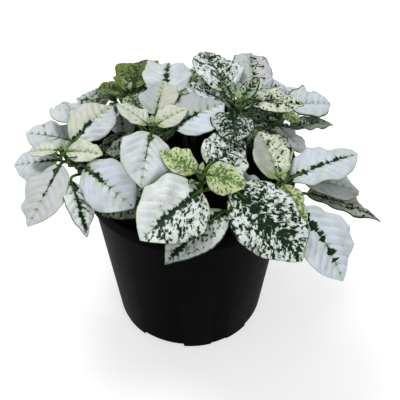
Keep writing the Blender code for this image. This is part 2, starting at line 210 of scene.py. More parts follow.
LOOKS = {
    "white": Look("white", "ivory", 0.004, 0.004, 0.6, 0.08, 0.3, 0.0),
    "bold": Look("cool", "ivory", 0.012, 0.006, 1.2, 0.15, 0.5, 0.0, far=0.48),
    "pinkish": Look("pearl", "ivory", 0.002, 0.002, 0.8, 0.05, 0.2, 0.0),
    "branching": Look("cool", "cool", 0.004, 0.01, 1.8, 0.12, 0.2, 0.0, far=0.75),
    "striped": Look("bright", "cool", 0.24, 0.10, 1.5, 0.7, 0.3, 0.4, "leafy", far=0.95),
    "cream": Look("ivory", "cream", 0.02, 0.03, 0.25, 0.10, 0.8, 0.0, "moss"),
    "dashed": Look("cream", "ivory", 0.07, 0.04, 0.20, 0.1, 0.6, 0.0, "moss"),
    "pale_dashed": Look("white", "ivory", 0.06, 0.05, 0.4, 0.2, 0.4, 0.1),
    "lime": Look("pale_lime", "cream", 0.34, 0.36, 0.2, 0.2, 0.8, 0.2, "moss"),
    "young": Look("sage", "lime", 0.02, 0.02, 0.0, 0.0, 0.9, 0.2, "moss"),
    "dull": Look("lime", "olive", 0.30, 0.30, 0.4, 0.3, 0.6, 0.3, "moss"),
    "half": Look("bright", "pale_lime", 0.42, 0.01, 1.5, 0.15, 0.4, 0.3, far=0.8),
    "half_lime": Look("stone", "pale_lime", 0.02, 0.26, 0.3, 0.1, 1.0, 0.2, "ink", "cream"),
    "dotted": Look("white", "pale_lime", 0.28, 0.42, 0.9, 0.4, 0.4, 0.2),
    "speckled": Look("bright", "sage", 0.57, 0.57, 1.6, 0.8, 0.5, 0.5),
    "dark_speckled": Look("pearl", "olive", 0.55, 0.55, 2.0, 1.4, 0.9, 0.9, "leafy"),
    "blotched": Look("bright", "cream", 0.42, 0.42, 0.8, 0.6, 0.6, 0.2),
    "spotted": Look("cream", "pale_lime", 0.32, 0.38, 0.8, 0.3, 0.8, 0.2),
    "cream_spotted": Look("pearl", "olive", 0.12, 0.20, 0.5, 0.3, 0.5, 0.7, far=0.9),
    # painted shade: the whole leaf is painted grey for the shade it sits in
    "grey": Look("grey", "beige", 0.01, 0.01, 0.3, 0.1, 0.3, 0.1),
    # painted cast shadow: the left half is painted grey, the right half beige
    "grey_rib": Look("grey", "beige", 0.005, 0.005, 0.45, 0.1, 0.3, 0.1, "ink", "beige"),
    # the left half is tan: partly the leaf's own tint, partly painted shade
    "tan_side": Look("ivory", "beige", 0.004, 0.004, 1.1, 0.15, 0.3, 0.0, "ink", "white"),
    "jagged": Look("cool", "grey", 0.01, 0.05, 1.3, 0.15, 0.3, 0.1, far=0.95),
    "notched": Look("white", "ivory", 0.004, 0.004, 1.3, 0.10, 0.3, 0.0, far=1.1),
    "shaded": Look("grey", "grey", 0.01, 0.02, 1.2, 0.15, 0.3, 0.1, "ink", "cool"),
    "rimmed": Look("cool", "olive", 0.01, 0.03, 0.5, 0.05, 0.3, 1.0),
    "dark_rim": Look("stone", "olive", 0.10, 0.30, 0.9, 0.6, 0.3, 1.2, "leafy", far=1.1),
    "dim": Look("dim", "olive", 0.40, 0.40, 0.8, 0.6, 0.4, 0.5),
    "green": Look("green", "olive", 0.38, 0.38, 1.9, 1.2, 0.2, 0.3, "deep"),
    "green_white": Look("sage", "olive", 0.42, 0.42, 0.6, 0.6, 0.6, 1.0),
}

# pitch is the slope of the blade, climb the slope of its stalk. roll lifts the blade's right edge,
# and turn is how far the blade swings left of its stalk. A higher full keeps the blade wide for longer.
LEAF_FIELDS = "look heading pitch length width stalk climb roll turn full"
Leaf = namedtuple("Leaf", LEAF_FIELDS, defaults=(0, 0, FULLNESS))
# drop is how far below the crown the pair leaves the stem.
Pair = namedtuple("Pair", "drop first second")
# bud is the length of the young leaves that stand at the crown.
Shoot = namedtuple("Shoot", "root crown pairs bud", defaults=(4.8,))

SHOOTS = {
    "a": Shoot((-26, -8), (-64, -16, 130), (
        Pair(2, Leaf("dashed", 164, -20, 18, 12, 3.2, 25), Leaf("dashed", -14, 6, 19, 14, 3.2, 35, -18)),
        Pair(8, Leaf("tan_side", 54, 3, 32, 24, 10, 60, -10, full=3),
             Leaf("pinkish", -118, -25, 36, 24, 8, 22, -9, full=3.2)),
        Pair(15, Leaf("white", 168, -20, 26, 25, 11, 12, 15),
             Leaf("bold", -40, -14, 34, 28, 15, 41, -26, 24, full=3.2)),
        Pair(23, Leaf("pale_dashed", 110, -14, 30, 24, 25, 40, -15),
             Leaf("striped", -71, -25, 31, 17, 20, 27, 30, 46)),
        Pair(30, Leaf("pale_dashed", 157, -9, 31, 25, 23, 25, 0, 24), Leaf("dim", 68, 3, 22, 17, 9, 30)),
    )),
    "b": Shoot((-9, -8), (-18, -18, 148), (
        Pair(2, Leaf("cream", 141, 7, 21, 13, 3.2, 35, -10), Leaf("cream", 33, 6, 19, 13, 3.2, 40, -12)),
        Pair(8, Leaf("grey_rib", 82, -1, 27, 20, 12, 44, 8),
             Leaf("white", -98, -17, 31, 27, 8, 60, 22, full=1.9)),
        Pair(15, Leaf("shaded", 34, 2, 31, 27, 16, 52, -8, 30, full=2.5),
             Leaf("dim", 168, -30, 20, 16, 9, 12)),
        Pair(22, Leaf("notched", 89, -9, 33, 27, 32, 36, 0, 10, full=2.5),
             Leaf("dotted", -80, -20, 32, 22, 14, 30)),
    )),
    "c": Shoot((3, -22), (6, -44, 141), (
        Pair(2, Leaf("lime", 150, 12, 21, 15, 3.2, 35, 10), Leaf("lime", -10, -14, 20, 17, 3.6, 35, -36)),
        Pair(8, Leaf("blotched", 46, -6, 27, 26, 10, 54, -26, full=2.2),
             Leaf("half", -138, -11, 39, 38, 9, 22, 20, -48, full=2.2)),
        Pair(15, Leaf("speckled", -37, -31, 49, 36, 19, 25, -24, -16, full=2.5),
             Leaf("dim", 140, -25, 22, 15, 11, 10)),
    )),
    "d": Shoot((24, -20), (45, -40, 131), (
        Pair(2, Leaf("half_lime", 109, 18, 28, 20, 3.2, 35, 2), Leaf("lime", -53, -30, 22, 13, 3.2, 35, 10)),
        Pair(8, Leaf("jagged", 27, 0, 40, 27, 9, 34, 3, full=2.8), Leaf("white", 168, -8, 24, 16, 8, 14)),
        Pair(17, Leaf("spotted", 72, 12, 19, 11, 13, 50, 56, 42),
             Leaf("branching", -46, -40, 42, 30, 21, 16, -8, full=2.5)),
        Pair(23, Leaf("grey", 13, -27, 36, 22, 23, 25, full=2.8), None),
        Pair(30, Leaf("dark_rim", -7, -22, 42, 23, 28, 16, 15), None),
    )),
    "e": Shoot((12, 2), (25, 0, 148), (
        Pair(2, Leaf("green_white", 130, 30, 12, 8, 4.2, 40),
             Leaf("green_white", 46, 26, 14, 9, 4.2, 40, -10)),
        Pair(8, Leaf("dotted", 144, -4, 26, 17, 9, 36), Leaf("spotted", 12, -15, 31, 20, 9, 33, 0, -26)),
        Pair(15, Leaf("blotched", 110, 2, 34, 28, 17, 56, -12, full=2.8),
             Leaf("dark_speckled", -95, -8, 20, 23, 15, 65, 10)),
        Pair(22, Leaf("cream_spotted", 94, 0, 35, 25, 24, 37, -22, 45, full=2.8),
             Leaf("dark_speckled", -58, -6, 22, 15, 18, 24, 20, -45)),
        Pair(29, Leaf("dim", 62, -2, 26, 20, 20, 12), None),
    ), 5.8),
    "f": Shoot((-16, 12), (-32, 19, 139), (
        Pair(2, Leaf("green", 155, -18, 18, 13, 3.2, 35), Leaf("green_white", -68, 0, 21, 15, 3.2, 35)),
        Pair(8, Leaf("green", 77, -7, 30, 27, 8, 56, 14), Leaf("green_white", -150, -30, 17, 13, 6, 15)),
        Pair(15, Leaf("green_white", 140, -30, 24, 18, 14, 28, -8),
             Leaf("green", 64, -16, 27, 18, 17, 38, 15)),
        Pair(22, Leaf("dotted", 98, 4, 24, 18, 9, 20), None),
    )),
    "g": Shoot((28, 12), (49, 18, 127), (
        Pair(2, Leaf("dotted", 115, 5, 16, 11, 3.2, 35), Leaf("lime", -50, 5, 11, 8, 3.2, 35)),
        Pair(8, Leaf("rimmed", 24, -17, 28, 22, 10, 42, -10, -20, full=3),
             Leaf("dark_rim", -132, -10, 19, 14, 6, 15)),
        Pair(15, Leaf("grey", -54, -6, 23, 16, 14, 52, 20, 12), Leaf("dotted", 150, -16, 22, 15, 10, 20)),
        Pair(22, Leaf("dim", 20, -13, 26, 15, 21, 42, 12, 40), Leaf("dim", 62, 6, 18, 15, 6, 30)),
        Pair(28, Leaf("dotted", 95, 6, 18, 13, 8, 20), None),
    )),
    "h": Shoot((2, 26), (3, 46, 122), (
        Pair(2, Leaf("spotted", 20, -16, 20, 13, 3.2, 35), Leaf("spotted", 200, -16, 20, 13, 3.2, 35)),
        Pair(8, Leaf("speckled", 100, -30, 32, 22, 10, 15), Leaf("white", -75, 2, 22, 15, 9, 40)),
        Pair(15, Leaf("dotted", 40, -22, 30, 22, 13, 30), Leaf("half", 160, -22, 30, 22, 13, 30)),
    )),
    "i": Shoot((22, 28), (42, 48, 115), (
        Pair(2, Leaf("blotched", -20, -22, 25, 17, 3.2, 35), Leaf("lime", 150, -10, 14, 10, 3.2, 35)),
        Pair(9, Leaf("branching", 58, -32, 34, 23, 10, 6), Leaf("white", -115, -10, 18, 12, 8, 10)),
    )),
    "j": Shoot((-24, 26), (-43, 44, 116), (
        Pair(2, Leaf("dotted", 205, -22, 25, 17, 3.2, 35), Leaf("lime", 30, -12, 14, 10, 3.2, 35)),
        Pair(9, Leaf("half", 126, -32, 34, 23, 10, 6), Leaf("white", -80, -4, 22, 15, 8, 20)),
    )),
    "k": Shoot((14, -32), (21, -53, 120), (
        Pair(3, Leaf("striped", -139, -16, 40, 24, 6.5, 62, 0, 41), Leaf("speckled", -8, -26, 24, 15, 8, 0)),
    )),
    "l": Shoot((-14, -26), (-8, -40, 107), (
        Pair(3, Leaf("dim", -168, -14, 32, 21, 12, 45, 14, 60), Leaf("speckled", -10, -16, 16, 11, 8, 20)),
    )),
    "m": Shoot((0, 2), (-3, 14, 128), (
        Pair(2, Leaf("dotted", 120, -10, 22, 16, 3.2, 30), Leaf("white", 30, -6, 20, 15, 3.2, 30)),
        Pair(10, Leaf("half", 48, -22, 24, 18, 6, 20), Leaf("dim", 190, -14, 18, 14, 5, 20)),
    )),
}


# -------- small tools


def direction(heading, rise):
    """The unit vector of a plan heading that rises at the given slope."""
    flat = cos(radians(rise))
    return np.array((flat * cos(radians(heading)), flat * sin(radians(heading)), sin(radians(rise))))


def unit(vectors):
    return vectors / np.linalg.norm(vectors, axis=-1, keepdims=True)


def smooth(value, low, high):
    """0 below low, 1 above high, and a smooth rise between."""
    share = np.clip((value - low) / (high - low), 0.0, 1.0)
    return share * share * (3 - 2 * share)


def linear(colour):
    """The light that a colour as it looks stands for."""
    return tuple(c / 12.92 if c <= 0.04045 else ((c + 0.055) / 1.055) ** 2.4 for c in colour)


def add_object(name, data):
    """A new object in the scene."""
    obj = bpy.data.objects.new(name, data)
    bpy.context.scene.collection.objects.link(obj)
    return obj


def object_from(shape, name):
    """A new object with the mesh of a bmesh, which is freed."""
    mesh = bpy.data.meshes.new(name)
    shape.to_mesh(mesh)
    shape.free()
    return add_object(name, mesh)


class Shape:
    """Rings of points gathered into the closed meshes of one piece."""

    FACTS = (
        "place", "shape", "vein", "marks", "more", "far", "face_tint", "other_tint", "edge_tint", "mark_tint",
    )

    def __init__(self):
        self.points = []
        self.faces = []
        self.slots = []
        self.facts = {name: [] for name in self.FACTS}
        self.count = 0

    def add_rings(self, rings, slots, facts=None):
        """Rings of as many points each, closed by a fan at both ends.

        The next point's direction, crossed with the next ring's, points outward. slots gives each
        column its material, and facts holds an array like rings for each point attribute."""
        rows, columns = rings.shape[:2]
        index = np.arange(rows * columns).reshape(rows, columns) + self.count
        beside = np.roll(index, -1, axis=1)
        quads = np.stack([index[:-1], beside[:-1], beside[1:], index[1:]], axis=-1)
        self.faces += quads.reshape(-1, 4).tolist()
        self.slots += np.tile(slots, rows - 1).tolist()
        start = self.count + rows * columns
        self.faces += [[start, b, a] for a, b in zip(index[0].tolist(), beside[0].tolist())]
        self.faces += [[start + 1, a, b] for a, b in zip(index[-1].tolist(), beside[-1].tolist())]
        self.slots += list(slots) * 2
        self.points.append(self.with_ends(rings))
        for name in self.FACTS:
            values = facts[name] if facts else np.zeros_like(rings)
            self.facts[name].append(self.with_ends(np.broadcast_to(values, rings.shape)))
        self.count = start + 2

    @staticmethod
    def with_ends(rings):
        return np.concatenate([rings.reshape(-1, 3), rings[:1].mean(axis=1), rings[-1:].mean(axis=1)])

    def finished(self, name, materials):
        mesh = bpy.data.meshes.new(name)
        mesh.from_pydata((np.concatenate(self.points) * MM).tolist(), [], self.faces)
        mesh.polygons.foreach_set("material_index", np.array(self.slots, np.int32))
        for fact, values in self.facts.items():
            values = np.concatenate(values)
            if values.any():
                attribute = mesh.attributes.new(fact, "FLOAT_VECTOR", "POINT")
                attribute.data.foreach_set("vector", values.astype(np.float32).ravel())
        for material in materials:
            mesh.materials.append(material)
        mesh.shade_smooth()
        return add_object(name, mesh)


def tube(path, radii, sides, squareness=0.0):
    """Rings round a path of points. squareness bulges four corners."""
    ahead = unit(np.gradient(path, axis=0))
    rings = []
    side = np.cross(ahead[0], (0.3, 0.9, 0.2))
    angles = np.arange(sides) * tau / sides
    for point, forward, radius in zip(path, ahead, radii):
        side = unit(side - forward * side.dot(forward))
        other = np.cross(forward, side)
        reach = radius * (1 + squareness * np.cos(4 * angles))
        rings.append(point + np.outer(reach * np.cos(angles), side) + np.outer(reach * np.sin(angles), other))
    return np.array(rings)


# -------- stems


def stem_point(shoot, along):
    """Points of the stem: along runs from 0, just above the soil, to 1 at the crown."""
    root = np.array((*shoot.root, STRAIGHT_TO))
    rise = np.array((*shoot.root, STRAIGHT_TO + FIRST_RISE))
    crown = np.array(shoot.crown, float)
    bend = np.array((crown[0] * BEND_REACH, crown[1] * BEND_REACH, min(BEND_HEIGHT, crown[2] - LAST_RISE)))
    along = np.atleast_1d(along)[:, None]
    left = 1 - along
    return left**3 * root + 3 * left**2 * along * rise + 3 * left * along**2 * bend + along**3 * crown


def stem_radius(along):
    return STEM_RADIUS + (BUD_RADIUS - STEM_RADIUS) * along


def stem_at(shoot, drop):
    """(point, direction, radius, along) of the stem at a distance below its crown."""
    along = np.linspace(1.0, 0.0, STEM_SAMPLES)
    points = stem_point(shoot, along)
    travelled = np.concatenate([[0.0], np.cumsum(np.linalg.norm(np.diff(points, axis=0), axis=1))])
    index = int(np.searchsorted(travelled, drop))
    ahead = unit(points[index - 1] - points[index])
    return points[index], ahead, stem_radius(along[index]), along[index]


def build_stem(name, shoot, material):
    """A stem with four soft corners, swollen at each node and pointed at its crown."""
    along = np.linspace(0.0, 1.0, STEM_ROWS)
    above = stem_point(shoot, along)
    planted = np.array([(*shoot.root, height) for height in PLANTED_HEIGHTS])
    tip = above[-1] + np.outer(TIP_STEPS, unit(above[-1] - above[-2]))
    path = np.concatenate([planted, above, tip])
    radii = np.concatenate([[STEM_RADIUS] * len(PLANTED_HEIGHTS), stem_radius(along), TIP_RADII])
    for pair in shoot.pairs:
        node = stem_at(shoot, pair.drop)[3]
        distance = (along - node) * np.linalg.norm(above[-1] - above[0])
        radii[len(PLANTED_HEIGHTS):-len(TIP_RADII)] += NODE_BULGE * np.exp(-((distance / NODE_SPREAD) ** 2))
    shape = Shape()
    shape.add_rings(tube(path, radii, STEM_SIDES, SQUARENESS), [0] * STEM_SIDES)
    return shape.finished(name, [material])


# -------- leaves


def half_width(leaf, station):
    """Half the blade's width at stations from 0, its base, to 1, its tip."""
    level = BASE_POWER / (BASE_POWER + leaf.full)
    peak = level ** (BASE_POWER / leaf.full) * (1 - level)
    return leaf.width / 2 * station**BASE_POWER * (1 - station**leaf.full) / peak


def midrib(leaf, station):
    """(offsets from the blade's base, directions) of the midrib, which bends down evenly by DROOP."""
    start = radians(leaf.pitch + DROOP / 2)
    bend = radians(DROOP)
    slope = start - bend * station
    flat = direction(leaf.heading, 0)
    up = np.array((0.0, 0.0, 1.0))
    run = (sin(start) - np.sin(slope)) / bend
    rise = (np.cos(slope) - cos(start)) / bend
    offset = (np.outer(run, flat) + np.outer(rise, up)) * leaf.length
    return offset, np.outer(np.cos(slope), flat) + np.outer(np.sin(slope), up)


def blade_sides(leaf, forward, roll):
    """The blade's right and upward directions, rolled about its midrib."""
    right = np.broadcast_to(direction(leaf.heading - 90, 0), forward.shape)
    up = np.cross(right, forward)
    roll = np.radians(roll)[:, None]
    return right * np.cos(roll) + up * np.sin(roll), up * np.cos(roll) - right * np.sin(roll)


def vein_spacing(leaf):
    """The distance between side veins, wider on a longer blade."""
    return VEIN_SPACING + VEIN_GROWTH * leaf.length


def vein_start(along, away):
    """Where on the midrib the side vein through a point starts."""
    return along - VEIN_LEAN * away - VEIN_ARCH * away**2


def margin_waves(along, dice):
    """Uneven waves along one margin, from about -1 to 1."""
    wave = np.zeros_like(along)
    for turns, share in ((1.3, 0.45), (2.6, 0.35), (4.3, 0.20)):
        wave += share * np.sin(tau * (along * turns * dice.uniform(0.8, 1.2) + dice.uniform(0, 1)))
    return wave


def swells(along, sideways, leaf, dice):
    """Broad, uneven swells of a blade's surface."""
    lift = np.zeros_like(along)
    for _ in range(4):
        turn = dice.uniform(0, pi)
        wave = leaf.length * dice.uniform(0.28, 0.55)
        here = (along * cos(turn) + sideways * sin(turn)) / wave
        lift += np.sin(tau * (here + dice.uniform(0, 1)))
    return lift * SWELL * leaf.width / 4


def point_fact(*values):
    """A point attribute from three arrays or numbers."""
    return np.stack(np.broadcast_arrays(*values), axis=-1)


def blade_surface(leaf, base, seed, rows, columns):
    """(top points, upward directions, facts) of a blade, with its folds, quilting and ruffles."""
    dice = np.random.default_rng(seed)
    station = 0.5 - 0.5 * np.cos(np.linspace(0.06, pi - 0.05, rows))
    share = np.linspace(-1.0, 1.0, columns)
    across = share * (0.8 + 0.2 * share**2)
    offset, forward = midrib(leaf, station)
    twist = dice.uniform(-TWIST, TWIST)
    bow = dice.uniform(-BOW, BOW) * leaf.length * 4 * station * (1 - station)
    right, up = blade_sides(leaf, forward, leaf.roll + twist * (station - 0.3))
    spacing = vein_spacing(leaf)
    left_waves = margin_waves(station, dice)[:, None]
    right_waves = margin_waves(station, dice)[:, None]
    waves = np.where(across[None, :] < 0, left_waves, right_waves)
    edge = np.abs(across)[None, :]
    full_half = half_width(leaf, station)[:, None]
    shift = dice.uniform(0, 1)
    rim = vein_start(station[:, None] * leaf.length, full_half)
    scallop = SCALLOP * (np.abs(np.sin(pi * (rim / spacing + shift))) - 0.6) * edge**6
    half = full_half * (1 + WAVY_OUTLINE * waves * edge**2 + scallop)
    fold = radians(FOLD + dice.uniform(-5, 7))
    arch = ARCH * dice.uniform(0.7, 1.4)
    sideways = half * across[None, :] * cos(fold)
    away = np.abs(sideways)
    along = np.broadcast_to(station[:, None] * leaf.length, away.shape)
    start = vein_start(along, away)
    phase = start / spacing + shift
    body = np.minimum(1.0, half / (leaf.width * 0.25))
    lift = half * (sin(fold) * np.sqrt(edge**2 + 0.004) - arch * edge**2)
    puff = (np.abs(np.sin(pi * phase)) ** 1.2 - 0.5) * dice.uniform(0.6, 1.2)
    lift = lift + QUILT * spacing * puff * body * smooth(away, 0.0, 0.22 * leaf.width) * (1 - edge**3)
    lift = lift + swells(along, sideways, leaf, dice) * body * smooth(away, 0.0, 0.2 * leaf.width)
    lift = lift - MIDRIB_GROOVE * body * np.exp(-((away / 0.9) ** 2))
    lift = lift + RUFFLE * leaf.width * waves * edge**3 * body * smooth(station, 0.05, 0.3)[:, None]
    beside = (sideways + bow[:, None])[..., None]
    top = (base + offset)[:, None, :] + right[:, None, :] * beside + up[:, None, :] * lift[..., None]
    facts = {
        "place": point_fact(along, sideways, dice.uniform(0, 40)),
        "shape": point_fact(station[:, None], across, half * (1 - edge)),
        "vein": point_fact(start, spacing, phase),
    }
    return top, up, facts


def speckle_level(cover):
    """The level of the speckle noise above which it covers this share of a blade."""
    return NormalDist(0.5, 0.115).inv_cdf(1 - cover) if cover > 0 else 1.2


def look_facts(look):
    """The constants of a leaf's look, which its materials read."""
    tints = {"face": look.face, "other": look.other or look.face, "mark": look.mark, "edge": look.edge}
    facts = {
        "marks": np.array((speckle_level(look.left), speckle_level(look.right), look.rib)),
        "more": np.array((look.branch, look.base, look.rim)),
        "far": np.array((look.far, 0.0, 0.0)),
    }
    for name, colour in tints.items():
        facts[name + "_tint"] = np.array(linear(COLOURS[colour]))
    return facts


def add_blade(shape, leaf, base, seed, rows=ROWS, columns=COLUMNS):
    """A blade as rings: its top from left to right, then its underside back."""
    top, up, facts = blade_surface(leaf, base, seed, rows, columns)
    under = top - up[:, None, :] * BLADE_THICKNESS
    rings = np.concatenate([top, under[:, ::-1]], axis=1)
    slots = [TOP] * columns + [UNDERSIDE] * columns
    facts = {name: np.concatenate([values, values[:, ::-1]], axis=1) for name, values in facts.items()}
    facts.update(look_facts(LOOKS[leaf.look]))
    shape.add_rings(rings, slots, facts)


def stalk_path(leaf, node, base):
    """The stalk's middle from its node to the blade, then on under the midrib, and its radii."""
    heading = leaf.heading - leaf.turn
    leave = direction(heading, leaf.climb) * leaf.stalk
    share = np.linspace(0.0, 1.0, STALK_ROWS)[:, None]
    arrive = midrib(leaf, np.zeros(1))[1] * leaf.stalk * 0.7
    free = (2 * share**3 - 3 * share**2 + 1) * node + (share**3 - 2 * share**2 + share) * leave
    free = free + (3 * share**2 - 2 * share**3) * base + (share**3 - share**2) * arrive
    station = np.linspace(0.06, 0.86, RIB_ROWS)
    offset, forward = midrib(leaf, station)
    up = blade_sides(leaf, forward, np.full(len(station), float(leaf.roll)))[1]
    sunk = (BLADE_THICKNESS + MIDRIB_GROOVE) * smooth(station, 0.0, 0.2)[:, None]
    under = base + offset - up * sunk
    scale = min(1.0, 0.45 + leaf.length / 55)
    radii = np.concatenate([np.full(STALK_ROWS, STALK_RADIUS), 0.18 + 0.55 * (1 - station) ** 1.3]) * scale
    return np.concatenate([free, under]), radii


def add_stalk(shape, leaf, node, base):
    """A leaf's stalk, which runs on as the raised rib under the blade."""
    path, radii = stalk_path(leaf, node, base)
    shape.add_rings(tube(path, radii, STALK_SIDES), [STALK] * STALK_SIDES)


def add_node_ring(shape, node, ahead, radius):
    """The swollen joint round the stem where the two stalks meet."""
    heights = np.linspace(-RING_REACH, RING_REACH, 9)
    path = node + np.outer(heights, ahead)
    radii = radius + 0.1 + RING_BULGE * np.sqrt(np.clip(1 - (heights / RING_END) ** 2, 0.02, 1))
    shape.add_rings(tube(path, radii, RING_SIDES), [STALK] * RING_SIDES)


def add_bud(shape, shoot, pair, seed):
    """Two small young leaves that stand at the crown, across the first pair."""
    crown = np.array(shoot.crown, float)
    middle = (pair.first.heading + pair.second.heading) / 2
    for turn in (0, 180):
        bud = Leaf("young", middle + turn, BUD_PITCH, shoot.bud, BUD_SHAPE * shoot.bud, BUD_STALK, BUD_CLIMB)
        base = crown + direction(bud.heading, bud.climb) * bud.stalk
        add_blade(shape, bud, base, seed + turn, SMALL_ROWS, SMALL_COLUMNS)


def add_axil_leaves(shape, node, ahead, seed):
    """Small young leaves that sprout just above a lower pair, all round the stem."""
    dice = np.random.default_rng(seed)
    first = dice.uniform(0, 360)
    for number in range(AXIL_LEAVES):
        length = dice.uniform(*AXIL_LENGTHS)
        heading = first + 360 / AXIL_LEAVES * (number + dice.uniform(-0.2, 0.2))
        look = AXIL_LOOKS[int(dice.integers(len(AXIL_LOOKS)))]
        pitch = dice.uniform(*AXIL_PITCHES)
        leaf = Leaf(look, heading, pitch, length, AXIL_SHAPE * length, AXIL_STALK, AXIL_CLIMB)
        base = node + ahead * AXIL_ABOVE + direction(heading, leaf.climb) * leaf.stalk
        add_blade(shape, leaf, base, seed + number, SMALL_ROWS, SMALL_COLUMNS)


def build_pair(name, shoot, pair, seed, materials, young):
    """A node's one or two leaves with their stalks, and the small leaves beside them.

    young says that the node is the topmost: it carries the bud, and the others have axil leaves."""
    node, ahead, radius, _ = stem_at(shoot, pair.drop)
    shape = Shape()
    add_node_ring(shape, node, ahead, radius)
    for side, leaf in enumerate((pair.first, pair.second)):
        if leaf:
            base = node + direction(leaf.heading - leaf.turn, leaf.climb) * leaf.stalk
            add_stalk(shape, leaf, node, base)
            add_blade(shape, leaf, base, seed + side)
    if young:
        add_bud(shape, shoot, pair, seed + BUD_SEED)
    else:
        add_axil_leaves(shape, node, ahead, seed + AXIL_SEED)
    return shape.finished(name, materials)


# -------- soil


def soil_height(radius, edge):
    """The soil's height before its lumps, from the middle out to the wall."""
    corners = (0.0, edge * 0.35, edge * 0.7, edge)
    heights = (SOIL_MIDDLE, SOIL_MIDDLE - 0.4, (SOIL_MIDDLE + SOIL_EDGE) / 2, SOIL_EDGE)
    return float(np.interp(radius, corners, heights))


def lumps(x, y):
    """The height of the soil's lumps at a plan position: broad swells, clods and grit."""
    swell = noise.noise(Vector((x * 0.06, y * 0.06, 3.1)))
    clod = noise.turbulence(Vector((x * 0.22, y * 0.22, 7.7)), 3, False)
    grit = noise.noise(Vector((x * 0.9, y * 0.9, 1.3)))
    return LUMP_HEIGHT * (0.5 * swell + 0.9 * clod - 0.7 + 0.22 * grit)


def soil_ring(radius, height, edge=None):
    """A ring of the soil's surface, lumpy where an edge is given."""
    ring = []
    for spoke in range(SOIL_SPOKES):
        angle = tau * spoke / SOIL_SPOKES
        x = radius * cos(angle)
        y = radius * sin(angle)
        lift = lumps(x, y) * min(1.0, (edge - radius) / 2 + 0.35) if edge else 0.0
        ring.append((x, y, height + lift))
    return ring


def crumb(dice, edge):
    """(points, faces) of one loose crumb that sits in the soil's top."""
    radius = edge * dice.uniform(0.02, 0.98) ** 0.5 - CRUMB_MARGIN
    angle = dice.uniform(0, tau)
    x = radius * cos(angle)
    y = radius * sin(angle)
    size = dice.uniform(0.5, 1.0) * dice.uniform(0.8, 1.9)
    shape = bmesh.new()
    bmesh.ops.create_icosphere(shape, subdivisions=1, radius=size)
    stretch = Vector(dice.uniform(*CRUMB_STRETCH, 3))
    place = Vector((x, y, soil_height(radius, edge) + lumps(x, y) + size * 0.25))
    turn = Matrix.Rotation(dice.uniform(0, tau), 3, Vector(dice.normal(size=3)).normalized())
    for vertex in shape.verts:
        rough = 1 + 0.35 * noise.noise(vertex.co * 1.3 + place)
        vertex.co = turn @ (vertex.co * stretch * rough) + place
    points = [tuple(vertex.co) for vertex in shape.verts]
    faces = [[vertex.index for vertex in face.verts] for face in shape.faces]
    shape.free()
    return points, faces


def build_soil(name, material):
    """The soil as a closed body with a lumpy top, and loose crumbs on it."""
    edge = wall_radius(SOIL_EDGE) - WALL - CLEARANCE
    plate = FOOT_HEIGHT + FLOOR + CLEARANCE
    below = [
        (SUNK_RADIUS - CLEARANCE, FLOOR + CLEARANCE),
        (SUNK_RADIUS + FLOOR - CLEARANCE, plate),
        (wall_radius(plate) - WALL - CLEARANCE, plate),
    ]
    rings = [soil_ring(radius, height) for radius, height in below]
    for radius in np.linspace(edge, 0.4, SOIL_RINGS):
        rings.append(soil_ring(radius, soil_height(radius, edge), edge))
    shape = Shape()
    shape.add_rings(np.array(rings), [0] * SOIL_SPOKES)
    dice = np.random.default_rng(CRUMB_SEED)
    for _ in range(CRUMBS):
        points, faces = crumb(dice, edge)
        shape.faces += [[index + shape.count for index in face] for face in faces]
        shape.slots += [0] * len(faces)
        shape.points.append(np.array(points))
        for fact in shape.FACTS:
            shape.facts[fact].append(np.zeros((len(points), 3)))
        shape.count += len(points)
    return shape.finished(name, [material])


# -------- pot


def wall_radius(height):
    """The outer radius of the pot's wall, below the lip."""
    rise = height / (POT_HEIGHT - LIP_HEIGHT)
    return BASE_RADIUS + (WALL_TOP_RADIUS - BASE_RADIUS) * rise


def rounded(corner, before, after, radius, steps=4):
    """Points that round a corner of a profile between the points before and after it."""
    corner = np.array(corner)
    start = corner + unit(np.array(before) - corner) * radius
    end = corner + unit(np.array(after) - corner) * radius
    share = np.linspace(0.0, 1.0, steps + 1)[:, None]
    return ((1 - share) ** 2 * start + 2 * share * (1 - share) * corner + share**2 * end).tolist()


def pot_profile():
    """(radius, height) points from the middle of the underside, up the outside, over the lip and in."""
    plate = FOOT_HEIGHT + FLOOR
    lip_base = POT_HEIGHT - LIP_HEIGHT
    corners = [
        ((SUNK_RADIUS, 0.0), 0.5),
        ((SUNK_RADIUS + FLOOR + SUNK_SLOPE, FOOT_HEIGHT), 0.4),
        ((BASE_RADIUS - FOOT_WIDTH, FOOT_HEIGHT), 0.3),
        ((BASE_RADIUS - FOOT_WIDTH, 0.0), 0.3),
        ((BASE_RADIUS, 0.0), 0.8),
        ((WALL_TOP_RADIUS, lip_base), 0.4),
        ((LIP_RADIUS, lip_base), 0.8),
        ((LIP_RADIUS, POT_HEIGHT), 0.62),
        ((LIP_RADIUS - WALL, POT_HEIGHT), 0.62),
        ((LIP_RADIUS - WALL, lip_base + LIP_SHOULDER), 1.0),
        ((wall_radius(lip_base) - WALL, lip_base), 1.0),
        ((wall_radius(plate) - WALL, plate), 0.8),
        ((SUNK_RADIUS + FLOOR, plate), 0.4),
        ((SUNK_RADIUS, FLOOR), 0.4),
    ]
    places = [(0.5, 0.0), *(corner for corner, _ in corners), (0.5, FLOOR)]
    profile = [places[0]]
    for index, (corner, radius) in enumerate(corners, start=1):
        profile += rounded(corner, places[index - 1], places[index + 1], radius)
    return profile + [places[-1]]


def cutter(shape, heading, radius, height):
    """A helper object for a Boolean, from a shape in millimetres that is moved to its place."""
    place = Vector(direction(heading, 0)) * radius
    place.z = height
    bmesh.ops.translate(shape, vec=place, verts=shape.verts)
    bmesh.ops.scale(shape, vec=(MM, MM, MM), verts=shape.verts)
    return object_from(shape, "cutter")


